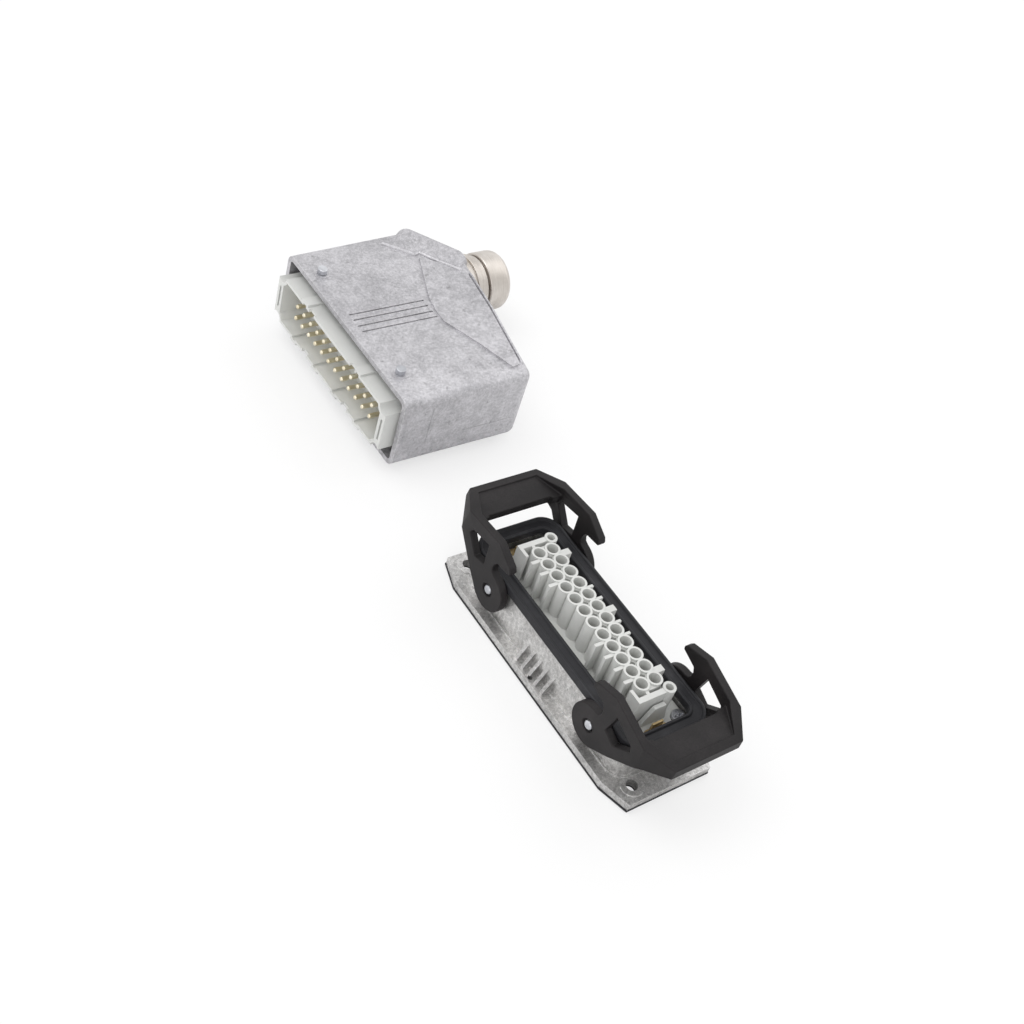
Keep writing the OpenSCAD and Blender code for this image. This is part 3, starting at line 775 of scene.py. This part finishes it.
@dataclass(frozen=True)
class CableHood:
    """The hood with its pin insert, its cable gland and its cast ridges.

    origin is that of the hood's own frame, and half_thickness that of its plain faces, both in
    millimetres.
    """

    pieces: tuple[DressedNode, ...] = (
        DressedNode("hood_shell", CAST_HOOD, 0.4 * MM),
        DressedNode("locking_pegs", ZINC, 0.3 * MM),
        DressedNode("pin_insert", INSERT, 0.2 * MM),
        DressedNode("contact_pins", GOLD, 0.0),
        DressedNode("pin_terminals", ZINC, 0.1 * MM),
        DressedNode("pin_earth_plates", BRASS, 0.15 * MM),
        DressedNode("pin_fixing_screws", ZINC, 0.15 * MM),
        DressedNode("entry_gasket", RUBBER, 0.15 * MM),
        DressedNode("entry_adapter", NICKEL, 0.3 * MM),
        DressedNode("gland_body", NICKEL, 0.3 * MM),
        DressedNode("gland_seal", RUBBER, 0.2 * MM),
        DressedNode("gland_claw", RUBBER, 0.1 * MM),
        DressedNode("gland_nut", NICKEL, 0.4 * MM, "gland_nut"),
    )
    origin: Point = (-17.8, 193.6, 24.3)
    half_thickness: float = 21.0
    ridges: tuple[Ridge, ...] = (
        Ridge("collar_foot", ((51.2, 55.2, -0.1), (64.6, 41.4, -0.1), (67.4, 42.6, 0.0),
                              (74.6, 32.0, 0.2), (82.2, 21.6, 0.8)), 1.3, 1.25),
        Ridge("back_border", ((85.6, 19.6, -0.1), (81.0, -9.4, -0.1), (72.1, -51.5, -0.1)),
              0.7, 1.3),
    )

    def build(self) -> None:
        """Dresses every node of the hood and casts its ridges."""
        for piece in self.pieces:
            piece.build()
        self._cast_ridges()

    def _cast_ridges(self) -> None:
        """Casts each ridge on both large faces."""
        for ridge in self.ridges:
            for up, face in ((1.0, "upper"), (-1.0, "lower")):
                plan = np.array(ridge.plan)
                plan[:, Axis.Z] = up * (self.half_thickness + plan[:, Axis.Z])
                path = (np.array(self.origin) + plan) * MM
                Bead(f"{ridge.name}_{face}", path, ridge.half_width * MM,
                     ridge.height * MM, up).build(SHELLS, CAST_HOOD)


# ---- studio --------------------------------------------------------------

@dataclass(frozen=True)
class Softbox:
    """A square lamp that faces a point."""

    name: str
    place: Point
    size: float
    power: float
    aim: Point = (0.0, 0.09, 0.02)

    def build(self) -> None:
        """Makes the lamp and turns it towards its aim."""
        lamp = bpy.data.lights.new(self.name, "AREA")
        lamp.size = self.size
        lamp.energy = self.power
        stand = bpy.data.objects.new(self.name, lamp)
        bpy.context.scene.collection.objects.link(stand)
        towards = Vector(self.aim) - Vector(self.place)
        stand.matrix_world = (Matrix.Translation(self.place)
                              @ towards.to_track_quat("-Z", "Y").to_matrix().to_4x4())


@dataclass(frozen=True)
class Studio:
    """Floor, soft light and camera."""

    white: Colour = (1.0, 1.0, 1.0)
    floor_size: float = 40.0
    floor_z: float = -0.4 * MM
    floor_colour: Colour = (0.92, 0.92, 0.92)
    floor_rough: float = 0.9
    floor_glow: float = 0.62
    world_level: float = 0.8
    camera_place: Point = (-0.332328, -0.239816, 0.462017)
    camera_turn: tuple[float, float, float] = (44.8201, -14.1453, -33.6628)
    lens: float = 48.236
    sensor: float = 36.0
    nearest: float = 0.01
    boxes: tuple[Softbox, ...] = (
        Softbox("key", (-0.45, 0.55, 1.25), 0.9, 5.5),
        Softbox("fill", (-0.9, -0.9, 0.8), 1.2, 4.0),
        Softbox("rim", (0.9, 0.2, 0.7), 0.9, 2.0),
    )

    def build(self) -> None:
        """Makes the floor, the world, the lamps and the camera."""
        self._floor()
        self._world()
        for box in self.boxes:
            box.build()
        self._camera()

    def _floor(self) -> None:
        """A white plane that glows a little to the camera and keeps soft shadows."""
        half = self.floor_size / 2
        mesh = bpy.data.meshes.new("floor")
        corners = np.array([(-half, -half), (half, -half), (half, half), (-half, half)])
        mesh.from_pydata(np.c_[corners, np.full(4, self.floor_z)].tolist(), [], [(0, 1, 2, 3)])
        floor = mesh_object("floor", mesh)
        material = bpy.data.materials.new("floor_white")
        graph = SkinGraph(material)
        graph.set(Base_Color=self.floor_colour, Roughness=self.floor_rough,
                  Specular_IOR_Level=0.0)
        glow = graph.node("ShaderNodeEmission", {}, {"Color": self.white, "Strength": 1.0})
        graph.show(graph.node("ShaderNodeMixShader", {}, {
            0: graph.ray("Is Camera Ray") * self.floor_glow, 1: graph.shader, 2: glow}))
        mesh.materials.append(material)

    def _world(self) -> None:
        """White to the camera and in reflections, a soft level for the light."""
        world = bpy.data.worlds.new("studio")
        bpy.context.scene.world = world
        graph = Graph(world, "ShaderNodeOutputWorld")
        seen = graph.ray("Is Camera Ray").larger(graph.ray("Is Glossy Ray"))
        level = graph.node("ShaderNodeMapRange", {}, {
            "Value": seen, "To Min": self.world_level, "To Max": 1.0})
        graph.show(graph.node("ShaderNodeBackground", {}, {
            "Color": self.white, "Strength": level}))

    def _camera(self) -> None:
        """The camera at the chosen view."""
        data = bpy.data.cameras.new("camera")
        data.lens = self.lens
        data.sensor_width = self.sensor
        data.clip_start = self.nearest
        camera = bpy.data.objects.new("camera", data)
        camera.location = self.camera_place
        camera.rotation_euler = Euler([math.radians(turn) for turn in self.camera_turn], "XYZ")
        bpy.context.scene.collection.objects.link(camera)
        bpy.context.scene.camera = camera
        bpy.context.scene.view_settings.view_transform = "Standard"


def main() -> None:
    """Builds the connector and its studio, and reports each piece."""
    logging.basicConfig(level=logging.INFO, format="%(name)s: %(message)s")
    Studio().build()
    PanelHousing().build()
    CableHood().build()


if __name__ == "__main__":
    main()
